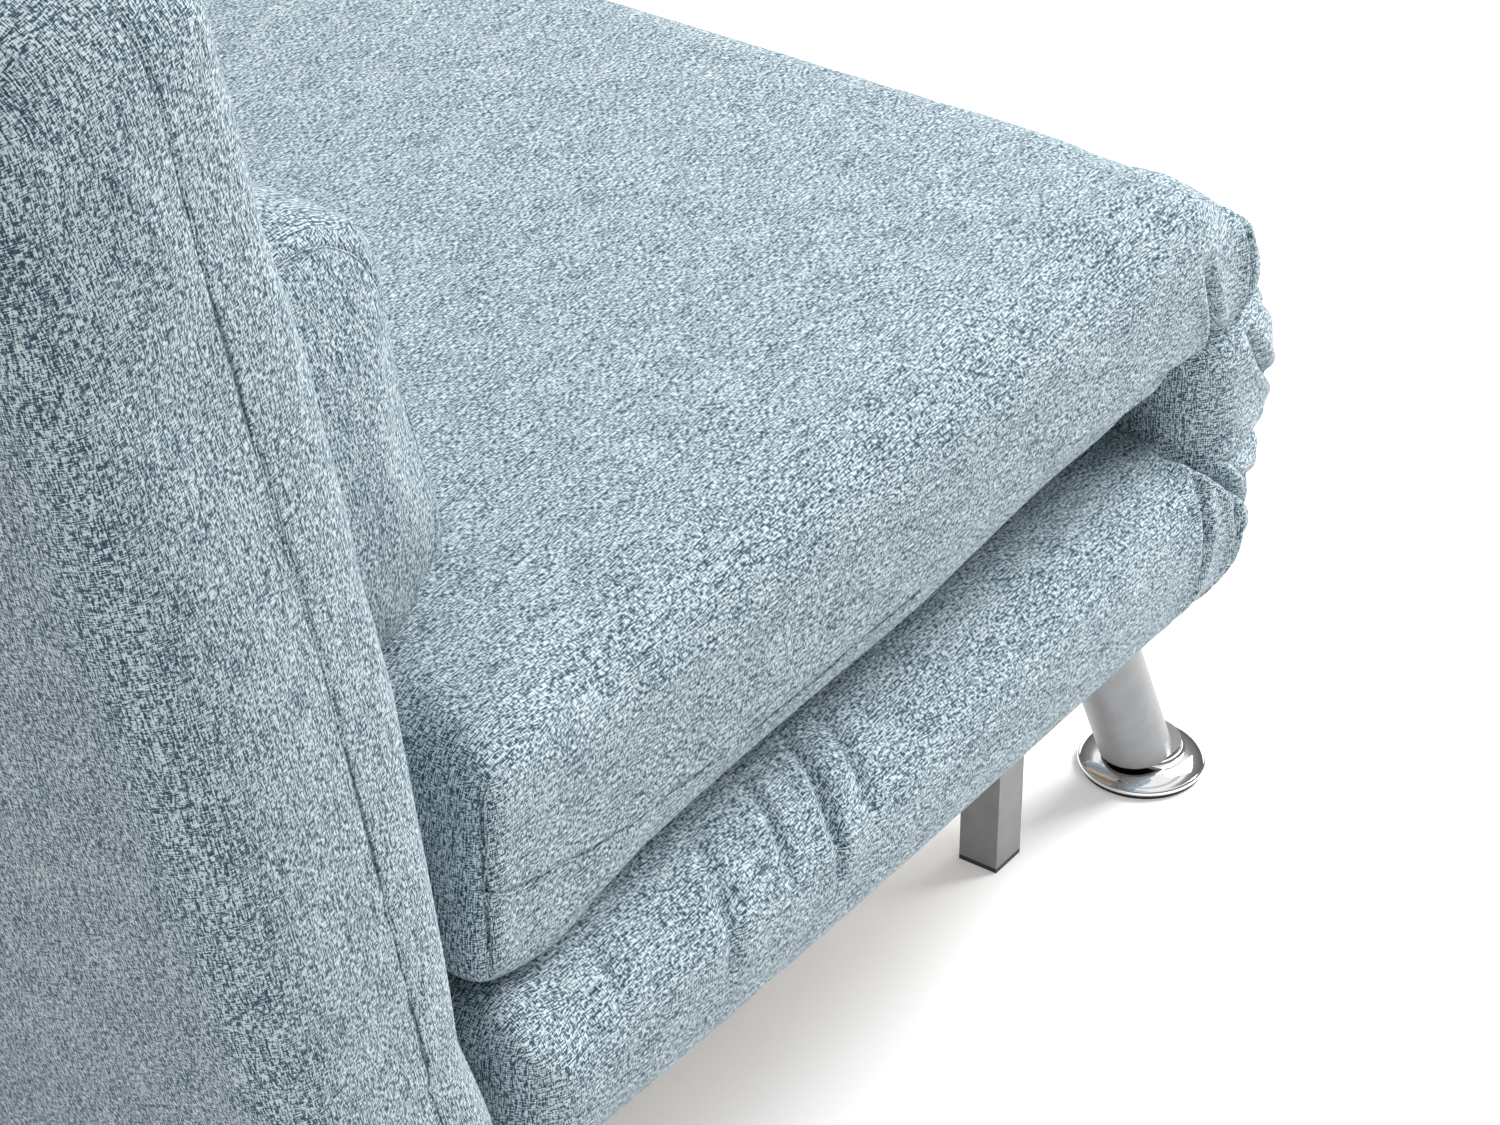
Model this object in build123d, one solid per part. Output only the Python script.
from build123d import *
import math
import os

os.makedirs("parts", exist_ok=True)

# Single futon sofa bed: a folded three-section mattress on a steel frame.
# Units are millimetres. +Z is up, the sitter looks along -Y, and X = 0 is the middle.
# While it is modelled, Y = 0 is the front plane of the folded mattress. write_node()
# then moves every piece so that the origin lies under the middle of the whole object.
# "right" and "left" are the sitter's own, so the right side has negative X.

# ---- driving dimensions ----------------------------------------------------------
pad_width = 740.0
seat_pad_width = 698.0
underside_height = 166.0
base_pad_height = 116.0
seat_pad_height = 112.0
back_pad_thickness = 118.0
base_pad_length = 658.0
seat_pad_length = 640.0
back_pad_length = 675.0
fold_tilt = 4.0
recline_at_rest = 13.0
pad_edge_radius = 40.0
seat_edge_radius = 38.0
back_edge_radius = 45.0
back_side_radius = 32.0
base_pad_front_y = -16.0
seat_pad_rear_y = 626.0
rest_gap = 0.3
overcut = 1.0

pillow_width = 490.0
pillow_thickness = 145.0
pillow_height = 240.0
pillow_rise = 146.0
pillow_gap = 0.5
pillow_edge_radius = 55.0

tube_size = 25.0
tube_wall = 1.5
cap_thickness = 3.0
plug_length = 8.0
plug_clearance = 0.2

base_rail_x = 261.5
base_rail_bottom = 133.0
base_rail_front_y = 87.0
base_rail_rear_y = 736.0
base_cross_y = {"front": 142.5, "middle": 362.5, "rear": 582.5}
slat_count = 7
slat_width = 56.0
slat_thickness = 8.0
slat_first_y = 116.0
slat_last_y = 612.0
screw_radius = 2.0
screw_head_radius = 4.0
screw_head_height = 2.0
screw_length = 12.0
hole_clearance = 0.2

square_leg_y = 105.5

pull_rail_x = 289.5
pull_rail_bottom = 138.0
pull_rail_front_y = 0.0
pull_rail_rear_y = 600.0
bracket_sheet = 2.5
bracket_front_y = 88.0
bracket_length = 35.0
bracket_side_gap = 1.0
rest_tab_y = 557.5
stop_block_y = 592.5
stop_block_length = 15.0
stop_block_height = 20.0
stop_block_proud = 2.5

leg_radius = 21.0
leg_wall = 2.0
leg_splay = 0.495
leg_end_height = 17.0
plate_thickness = 4.0
front_leg_x = 286.0
front_leg_foot_y = -22.5
front_plate_width = 42.0
front_plate_length = 78.0
rear_leg_top_y = 640.0
rear_plate_width = 50.0
rear_plate_length = 84.0
leg_bolt_inset = 7.0
leg_bolt_radius = 3.0
leg_bolt_head_radius = 5.5
leg_bolt_head_height = 4.0
leg_bolt_length = 14.0

foot_radius = 38.0
foot_rim_inset = 1.2
foot_rim_height = 4.1
foot_dome_middle = (32.6, 10.4)
foot_dome_top = (26.0, 12.8)
foot_neck = (23.4, 14.0)
foot_collar_straight = 3.0
foot_collar_radius = 22.5
foot_collar_height = 19.0
foot_bore_radius = 15.0
foot_pad_thickness = 2.5
foot_pad_inset = 2.0

pivot_y = 705.0
pivot_z = underside_height + back_pad_thickness / 2
hinge_sheet = 4.0
hinge_plate_x = 247.0
hinge_arm_x = 242.5
hinge_disc_radius = 24.0
hinge_arm_radius = 20.0
hinge_pin_radius = 5.0
hinge_pin_head_radius = 8.0
hinge_pin_head_height = 3.0
running_clearance = 0.05
notch_radius = 3.0
notch_count = 5
notch_step = 16.0
hinge_bolt_offsets = (-14.0, 12.0)
hinge_bolt_radius = 4.0
hinge_bolt_head_radius = 6.5
hinge_bolt_head_height = 5.0
pawl_gap = 0.6
pawl_width = 12.0
pawl_length = 18.0
slot_radius = 62.0
slot_inner_x = 236.0
slot_outer_x = 254.0

upright_x = 228.0
upright_low = 20.0
upright_high = 572.0
frame_depth = 42.5
groove_clearance = 0.5
groove_end_room = 4.0
back_cross_rise = {"low": 52.5, "middle": 306.0, "top": 559.5}
arm_low = 60.0
arm_high = 120.0

sides = {"right": -1, "left": 1}
base_pad_top = underside_height + base_pad_height
base_rail_z = base_rail_bottom + tube_size / 2
base_rail_top = base_rail_bottom + tube_size
pull_rail_z = pull_rail_bottom + tube_size / 2
half_tube = tube_size / 2

# The whole object reaches from the front feet to the back pad's top rear corner.
lean = math.radians(recline_at_rest)
corner_rise = back_pad_length - back_pad_thickness / 2 - back_edge_radius
corner_depth = back_pad_thickness / 2 - back_edge_radius
rear_reach = (
    pivot_y
    + corner_rise * math.sin(lean)
    + corner_depth * math.cos(lean)
    + back_edge_radius
)
front_reach = front_leg_foot_y - foot_radius
origin_shift = -(front_reach + rear_reach) / 2


def write_node(name, *shapes):
    """Move a sub-part into the object's frame and write its STEP file."""
    moved = [Pos(0, origin_shift, 0) * solid for shape in shapes for solid in shape.solids()]
    sub_part = moved[0] if len(moved) == 1 else Compound(children=moved)
    export_step(sub_part, f"parts/{name}.step")


def block(x_range, y_range, z_range):
    """A box between two limits on each axis."""
    sizes = [high - low for low, high in (x_range, y_range, z_range)]
    middle = [(high + low) / 2 for low, high in (x_range, y_range, z_range)]
    return Pos(*middle) * Box(*sizes)


def side_block(side, x_range, y_range, z_range):
    """A box whose X limits are distances from the middle, on one side."""
    limits = sorted(side * x for x in x_range)
    return block(limits, y_range, z_range)


def rod_x(radius, x_range, y, z):
    """A round bar along X between two X values."""
    low, high = sorted(x_range)
    return Pos((low + high) / 2, y, z) * Rot(0, 90, 0) * Cylinder(radius, high - low)


def rod_z(radius, x, y, z_range):
    """A round bar along Z between two heights."""
    low, high = z_range
    return Pos(x, y, (low + high) / 2) * Cylinder(radius, high - low)


def tube_along(axis, length):
    """A square steel tube, centred on the origin, along X, Y or Z."""
    inner = tube_size - 2 * tube_wall
    outside = {"X": (length, tube_size, tube_size), "Y": (tube_size, length, tube_size)}
    outside["Z"] = (tube_size, tube_size, length)
    bore_length = length + 2 * overcut
    inside = {"X": (bore_length, inner, inner), "Y": (inner, bore_length, inner)}
    inside["Z"] = (inner, inner, bore_length)
    return Box(*outside[axis]) - Box(*inside[axis])


def end_cap(position, turn):
    """A plastic end cap: a square plate with a plug; turn points its plug into the tube."""
    plug_size = tube_size - 2 * tube_wall - 2 * plug_clearance
    plate = Pos(0, 0, -cap_thickness / 2) * Box(tube_size, tube_size, cap_thickness)
    plug = Pos(0, 0, plug_length / 2) * Box(plug_size, plug_size, plug_length)
    return Pos(*position) * turn * (plate + plug)


def reclined(shape):
    """Lean a shape, modelled upright about the recline pivot, to its rest angle."""
    return Pos(0, pivot_y, pivot_z) * Rot(-recline_at_rest, 0, 0) * shape


# ---- mattress --------------------------------------------------------------------
def make_base_pad():
    """The lower section, which lies on the slats."""
    y_range = (base_pad_front_y, base_pad_front_y + base_pad_length)
    pad = block((-pad_width / 2, pad_width / 2), y_range, (underside_height, base_pad_top))
    return fillet(pad.edges(), pad_edge_radius)


def make_seat_pad():
    """The middle section, folded over on the lower one and a little higher in front."""
    half = seat_pad_width / 2
    pad = block((-half, half), (-seat_pad_length, 0), (0, seat_pad_height))
    pad = fillet(pad.edges(), seat_edge_radius)
    return Pos(0, seat_pad_rear_y, base_pad_top + rest_gap) * Rot(-fold_tilt, 0, 0) * pad


def make_back_pad():
    """The back section, with a half-round lower end about the recline pivot."""
    half = back_pad_thickness / 2
    top = back_pad_length - half
    turn = back_edge_radius
    shoulder = turn * (1 - math.sqrt(0.5))
    outline = [
        ThreePointArc((-half, 0), (0, -half), (half, 0)),
        Line((half, 0), (half, top - turn)),
        ThreePointArc((half, top - turn), (half - shoulder, top - shoulder), (half - turn, top)),
        Line((half - turn, top), (turn - half, top)),
        ThreePointArc((turn - half, top), (shoulder - half, top - shoulder), (-half, top - turn)),
        Line((-half, top - turn), (-half, 0)),
    ]
    section = Plane.YZ * make_face(Curve() + outline)
    pad = Pos(-pad_width / 2, 0, 0) * extrude(section, pad_width)
    side_edges = pad.edges().filter_by_position(Axis.X, -pad_width / 2, -pad_width / 2)
    side_edges += pad.edges().filter_by_position(Axis.X, pad_width / 2, pad_width / 2)
    pad = fillet(side_edges, back_side_radius)
    for side in sides.values():
        slot_middle = side * (slot_inner_x + slot_outer_x) / 2
        slot = Rot(0, 90, 0) * Cylinder(slot_radius, slot_outer_x - slot_inner_x)
        pad -= Pos(slot_middle, 0, 0) * slot
        pad -= frame_groove(side, upright_x, upright_low, upright_high)
        arm_room = (hinge_arm_x - hinge_sheet, hinge_arm_x + hinge_sheet)
        depth_room = (-hinge_disc_radius, back_pad_thickness / 2 + overcut)
        pad -= side_block(side, arm_room, depth_room, (0, arm_high + hinge_sheet))
    reach = upright_x - half_tube + groove_clearance
    for rise in back_cross_rise.values():
        low = rise - half_tube - groove_clearance
        high = rise + half_tube + groove_clearance
        depth = frame_depth - half_tube - groove_clearance
        pad -= block((-reach, reach), (depth, back_pad_thickness / 2 + overcut), (low, high))
    return reclined(pad)


def frame_groove(side, x, low, high):
    """The groove in the back pad's rear face that holds an upright."""
    room = half_tube + groove_clearance
    depth = (frame_depth - room, back_pad_thickness / 2 + overcut)
    return side_block(side, (x - room, x + room), depth, (low - groove_end_room, high + groove_end_room))


def make_pillow():
    """The loose pillow, standing on the seat and leaning on the back pad."""
    front = -(back_pad_thickness / 2 + pillow_gap + pillow_thickness)
    rear = -(back_pad_thickness / 2 + pillow_gap)
    half = pillow_width / 2
    pad = block((-half, half), (front, rear), (pillow_rise, pillow_rise + pillow_height))
    return reclined(fillet(pad.edges(), pillow_edge_radius))


write_node("base_pad", make_base_pad())
write_node("seat_pad", make_seat_pad())
write_node("back_pad", make_back_pad())
write_node("pillow", make_pillow())

# ---- base frame ------------------------------------------------------------------
slat_step = (slat_last_y - slat_first_y) / (slat_count - 1)
slat_rows = [slat_first_y + slat_step * i for i in range(slat_count)]
rear_bolt_reach = rear_plate_length / 2 - leg_bolt_inset
rear_bolt_rows = [rear_leg_top_y - rear_bolt_reach, rear_leg_top_y + rear_bolt_reach]
hinge_bolt_rows = [pivot_y + offset for offset in hinge_bolt_offsets]
base_rail_length = base_rail_rear_y - base_rail_front_y
base_rail_y = (base_rail_front_y + base_rail_rear_y) / 2

for name, side in sides.items():
    rail = Pos(side * base_rail_x, base_rail_y, base_rail_z) * tube_along("Y", base_rail_length)
    for y in slat_rows:
        hole_z = (base_rail_top - half_tube, base_rail_top + overcut)
        rail -= rod_z(screw_radius + hole_clearance, side * base_rail_x, y, hole_z)
    for y in rear_bolt_rows:
        hole_z = (base_rail_bottom - overcut, base_rail_z)
        rail -= rod_z(leg_bolt_radius + hole_clearance, side * base_rail_x, y, hole_z)
    for y in hinge_bolt_rows:
        hole_x = (side * (base_rail_x - tube_size), side * (base_rail_x + tube_size))
        rail -= rod_x(hinge_bolt_radius + hole_clearance, hole_x, y, base_rail_z)
    write_node(f"base_rail_{name}", rail)

for name, y in base_cross_y.items():
    length = 2 * (base_rail_x - half_tube)
    write_node(f"base_cross_{name}", Pos(0, y, base_rail_z) * tube_along("X", length))

slats = []
slat_screws = []
for y in slat_rows:
    reach = base_rail_x + half_tube
    slat = block(
        (-reach, reach),
        (y - slat_width / 2, y + slat_width / 2),
        (base_rail_top, base_rail_top + slat_thickness),
    )
    slat_top = base_rail_top + slat_thickness
    for side in sides.values():
        x = side * base_rail_x
        head_z = (slat_top - screw_head_height, slat_top)
        hole_z = (base_rail_top - overcut, slat_top + overcut)
        slat -= rod_z(screw_radius + hole_clearance, x, y, hole_z)
        head_room = (head_z[0] - hole_clearance, slat_top + overcut)
        slat -= rod_z(screw_head_radius + hole_clearance, x, y, head_room)
        shank = rod_z(screw_radius, x, y, (slat_top - screw_length, slat_top))
        slat_screws.append(shank + rod_z(screw_head_radius, x, y, head_z))
    slats.append(slat)
write_node("slats", *slats)
write_node("slat_screws", *slat_screws)

for name, side in sides.items():
    x = side * base_rail_x
    length = base_rail_bottom - cap_thickness
    post = Pos(x, square_leg_y, cap_thickness + length / 2) * tube_along("Z", length)
    write_node(f"square_leg_{name}", post)
    cap = end_cap((x, square_leg_y, cap_thickness), Rot(0, 0, 0))
    write_node(f"square_leg_cap_{name}", cap)

rail_caps = []
for side in sides.values():
    x = side * base_rail_x
    rail_caps.append(end_cap((x, base_rail_front_y, base_rail_z), Rot(-90, 0, 0)))
    rail_caps.append(end_cap((x, base_rail_rear_y, base_rail_z), Rot(90, 0, 0)))
write_node("base_rail_caps", *rail_caps)

# The pull-out rails run in these brackets and, when pushed in, rest on the rear tabs.
bracket_inner_x = base_rail_x + half_tube
bracket_outer_x = pull_rail_x + half_tube + bracket_side_gap + bracket_sheet
lower_lip = (pull_rail_bottom - rest_gap - bracket_sheet, pull_rail_bottom - rest_gap)
pull_rail_top = pull_rail_bottom + tube_size
upper_lip = (pull_rail_top + rest_gap, pull_rail_top + rest_gap + bracket_sheet)
rest_tabs = []
for name, side in sides.items():
    y_range = (bracket_front_y, bracket_front_y + bracket_length)
    bracket = side_block(side, (bracket_inner_x, bracket_outer_x), y_range, lower_lip)
    bracket += side_block(side, (bracket_inner_x, bracket_outer_x), y_range, upper_lip)
    wall_x = (bracket_outer_x - bracket_sheet, bracket_outer_x)
    bracket += side_block(side, wall_x, y_range, (lower_lip[0], upper_lip[1]))
    write_node(f"guide_bracket_{name}", bracket)
    tab_y = (rest_tab_y - bracket_length / 2, rest_tab_y + bracket_length / 2)
    rest_tabs.append(side_block(side, (bracket_inner_x, bracket_outer_x), tab_y, lower_lip))
write_node("rail_rest_tabs", *rest_tabs)


# ---- splayed legs and feet ---------------------------------------------------------
def splayed_tube(x, foot_y, direction, top_z):
    """A round tube leaning along Y, cut level at its foot and at its top."""
    rise = top_z + 2 * leg_radius
    angle = math.degrees(math.atan(leg_splay)) * direction
    length = 2 * rise / math.cos(math.radians(angle))
    bar = Cylinder(leg_radius, length) - Cylinder(leg_radius - leg_wall, length + 2 * overcut)
    bar = Pos(x, foot_y, 0) * Rot(-angle, 0, 0) * bar
    reach = leg_splay * rise + 2 * leg_radius
    x_range = (x - 2 * leg_radius, x + 2 * leg_radius)
    limits = block(x_range, (foot_y - reach, foot_y + reach), (leg_end_height, top_z))
    return bar & limits


def domed_foot(x, y):
    """A chromed foot: a thin rim, a shallow dome and a collar that the tube stands in."""
    floor = foot_pad_thickness
    rim_inner = foot_radius - foot_rim_inset
    rim_middle = (foot_radius, floor + foot_rim_height / 2)
    rim_top = floor + foot_rim_height
    collar_low = foot_collar_height - foot_collar_straight
    outline = [
        Line((foot_bore_radius, floor), (rim_inner, floor)),
        ThreePointArc((rim_inner, floor), rim_middle, (rim_inner, rim_top)),
        ThreePointArc((rim_inner, rim_top), foot_dome_middle, foot_dome_top),
        ThreePointArc(foot_dome_top, foot_neck, (foot_collar_radius, collar_low)),
        Line((foot_collar_radius, collar_low), (foot_collar_radius, foot_collar_height)),
        Line((foot_collar_radius, foot_collar_height), (foot_bore_radius, foot_collar_height)),
        Line((foot_bore_radius, foot_collar_height), (foot_bore_radius, floor)),
    ]
    section = Plane.XZ * make_face(Curve() + outline)
    return Pos(x, y, 0) * revolve(section, Axis.Z)


def foot_pad(x, y):
    """The thin pad under a foot."""
    radius = foot_radius - foot_pad_inset
    return rod_z(radius, x, y, (0, foot_pad_thickness))


def leg_plate(x, y, top_z, width, length):
    """The plate welded on a leg's top, with its two bolt holes."""
    z_range = (top_z - plate_thickness, top_z)
    plate = block((x - width / 2, x + width / 2), (y - length / 2, y + length / 2), z_range)
    for direction in (-1, 1):
        hole_y = y + direction * (length / 2 - leg_bolt_inset)
        room = (z_range[0] - overcut, z_range[1] + overcut)
        plate -= rod_z(leg_bolt_radius + hole_clearance, x, hole_y, room)
    return plate


def leg_bolt(x, y, plate_bottom):
    """A bolt that holds a leg plate to the rail above it."""
    shank = rod_z(leg_bolt_radius, x, y, (plate_bottom, plate_bottom + leg_bolt_length))
    head_z = (plate_bottom - leg_bolt_head_height, plate_bottom)
    return shank + rod_z(leg_bolt_head_radius, x, y, head_z)


def leg_set(where, x_distance, foot_y, direction, rail_bottom, width, length):
    """Both legs of one end: tubes, plates, bolts, feet and pads."""
    plate_bottom = rail_bottom - plate_thickness
    top_y = foot_y - direction * leg_splay * plate_bottom
    plates = []
    bolts = []
    pads = []
    for name, side in sides.items():
        x = side * x_distance
        tube = splayed_tube(x, foot_y, -direction, plate_bottom)
        collar_room = rod_z(foot_collar_radius + hole_clearance, x, foot_y, (0, foot_collar_height))
        write_node(f"{where}_leg_{name}", tube - collar_room)
        write_node(f"{where}_foot_{name}", domed_foot(x, foot_y))
        plates.append(leg_plate(x, top_y, rail_bottom, width, length))
        pads.append(foot_pad(x, foot_y))
        for turn in (-1, 1):
            bolt_y = top_y + turn * (length / 2 - leg_bolt_inset)
            bolts.append(leg_bolt(x, bolt_y, plate_bottom))
    write_node(f"{where}_leg_plates", *plates)
    write_node(f"{where}_leg_bolts", *bolts)
    write_node(f"{where}_foot_pads", *pads)
    return top_y


rear_leg_drop = leg_splay * (base_rail_bottom - plate_thickness)
rear_leg_foot_y = rear_leg_top_y + rear_leg_drop
leg_set(
    "rear", base_rail_x, rear_leg_foot_y, 1, base_rail_bottom, rear_plate_width, rear_plate_length
)
front_leg_top_y = leg_set(
    "front", front_leg_x, front_leg_foot_y, -1, pull_rail_bottom, front_plate_width, front_plate_length
)

# ---- pull-out frame ----------------------------------------------------------------
pull_rail_length = pull_rail_rear_y - pull_rail_front_y
pull_rail_y = (pull_rail_front_y + pull_rail_rear_y) / 2
front_bolt_reach = front_plate_length / 2 - leg_bolt_inset
stops = []
pull_caps = []
for name, side in sides.items():
    x = side * pull_rail_x
    rail = Pos(x, pull_rail_y, pull_rail_z) * tube_along("Y", pull_rail_length)
    for turn in (-1, 1):
        hole_y = front_leg_top_y + turn * front_bolt_reach
        hole_z = (pull_rail_bottom - overcut, pull_rail_z)
        rail -= rod_z(leg_bolt_radius + hole_clearance, side * front_leg_x, hole_y, hole_z)
    write_node(f"pull_rail_{name}", rail)
    outer = pull_rail_x + half_tube
    y_range = (stop_block_y - stop_block_length / 2, stop_block_y + stop_block_length / 2)
    z_range = (pull_rail_z - stop_block_height / 2, pull_rail_z + stop_block_height / 2)
    stops.append(side_block(side, (outer, outer + stop_block_proud), y_range, z_range))
    pull_caps.append(end_cap((x, pull_rail_front_y, pull_rail_z), Rot(-90, 0, 0)))
    pull_caps.append(end_cap((x, pull_rail_rear_y, pull_rail_z), Rot(90, 0, 0)))
cross_length = 2 * (pull_rail_x - half_tube)
cross_y = pull_rail_front_y + half_tube
write_node("pull_cross_tube", Pos(0, cross_y, pull_rail_z) * tube_along("X", cross_length))
write_node("pull_stops", *stops)
write_node("pull_rail_caps", *pull_caps)

# ---- recline hinges ----------------------------------------------------------------
hinge_bolts = []
for name, side in sides.items():
    plate_x = (hinge_plate_x - hinge_sheet / 2, hinge_plate_x + hinge_sheet / 2)
    disc_x = (side * plate_x[0], side * plate_x[1])
    y_range = (pivot_y - hinge_disc_radius, base_rail_rear_y)
    plate = side_block(side, plate_x, y_range, (base_rail_bottom, base_rail_top))
    waist = (pivot_y - hinge_disc_radius, pivot_y + hinge_disc_radius / 2)
    plate += side_block(side, plate_x, waist, (base_rail_top, pivot_z))
    plate += rod_x(hinge_disc_radius, disc_x, pivot_y, pivot_z)
    cut_x = (side * (plate_x[0] - overcut), side * (plate_x[1] + overcut))
    for step in range(notch_count):
        angle = lean + math.radians(step * notch_step)
        notch_y = pivot_y + hinge_disc_radius * math.sin(angle)
        notch_z = pivot_z + hinge_disc_radius * math.cos(angle)
        plate -= rod_x(notch_radius, cut_x, notch_y, notch_z)
    plate -= rod_x(hinge_pin_radius + running_clearance, cut_x, pivot_y, pivot_z)
    for y in hinge_bolt_rows:
        plate -= rod_x(hinge_bolt_radius + hole_clearance, cut_x, y, base_rail_z)
        shank_x = (side * plate_x[0], side * (base_rail_x + half_tube + hinge_bolt_head_height))
        head_x = (side * (plate_x[0] - hinge_bolt_head_height), side * plate_x[0])
        nut_x = (side * (base_rail_x + half_tube), shank_x[1])
        bolt = rod_x(hinge_bolt_radius, shank_x, y, base_rail_z)
        bolt += rod_x(hinge_bolt_head_radius, head_x, y, base_rail_z)
        hinge_bolts.append(bolt + rod_x(hinge_bolt_head_radius, nut_x, y, base_rail_z))
    write_node(f"hinge_plate_{name}", plate)

    inner_head = hinge_arm_x - hinge_sheet / 2 - rest_gap
    outer_head = plate_x[1] + rest_gap
    pin = rod_x(hinge_pin_radius, (side * inner_head, side * outer_head), pivot_y, pivot_z)
    for start, direction in ((inner_head, -1), (outer_head, 1)):
        head_x = (side * start, side * (start + direction * hinge_pin_head_height))
        pin += rod_x(hinge_pin_head_radius, head_x, pivot_y, pivot_z)
    write_node(f"hinge_pin_{name}", pin)
write_node("hinge_bolts", *hinge_bolts)

# ---- back frame, modelled upright about the pivot ------------------------------------
pawls = []
back_caps = []
for name, side in sides.items():
    x = side * upright_x
    length = upright_high - upright_low
    middle = (upright_high + upright_low) / 2
    upright = Pos(x, frame_depth, middle) * tube_along("Z", length)
    write_node(f"back_upright_{name}", reclined(upright))
    caps = end_cap((x, frame_depth, upright_low), Rot(0, 0, 0))
    back_caps.append(reclined(caps))
    back_caps.append(reclined(end_cap((x, frame_depth, upright_high), Rot(180, 0, 0))))

    arm_x = (hinge_arm_x - hinge_sheet / 2, hinge_arm_x + hinge_sheet / 2)
    disc_x = (side * arm_x[0], side * arm_x[1])
    arm = rod_x(hinge_arm_radius, disc_x, 0, 0)
    weld_depth = (frame_depth - half_tube, frame_depth + half_tube)
    arm += side_block(side, arm_x, weld_depth, (arm_low, arm_high))
    outline = Polyline(
        (-hinge_arm_radius, 0),
        (weld_depth[0], arm_high),
        (weld_depth[1], arm_low),
        (hinge_arm_radius, 0),
        close=True,
    )
    web = extrude(Plane.YZ * make_face(outline), hinge_sheet)
    arm += Pos(min(disc_x), 0, 0) * web
    cut_x = (side * (arm_x[0] - overcut), side * (arm_x[1] + overcut))
    arm -= rod_x(hinge_pin_radius + running_clearance, cut_x, 0, 0)
    write_node(f"hinge_arm_{name}", reclined(arm))

    pawl_x = (arm_x[1], hinge_plate_x + hinge_sheet / 2)
    pawl_z = (hinge_disc_radius + pawl_gap, hinge_disc_radius + pawl_gap + pawl_length)
    pawl = side_block(side, pawl_x, (-pawl_width / 2, pawl_width / 2), pawl_z)
    pawls.append(reclined(pawl))
write_node("ratchet_pawls", *pawls)
write_node("back_upright_caps", *back_caps)

for name, rise in back_cross_rise.items():
    length = 2 * (upright_x - half_tube)
    cross = Pos(0, frame_depth, rise) * tube_along("X", length)
    write_node(f"back_cross_{name}", reclined(cross))
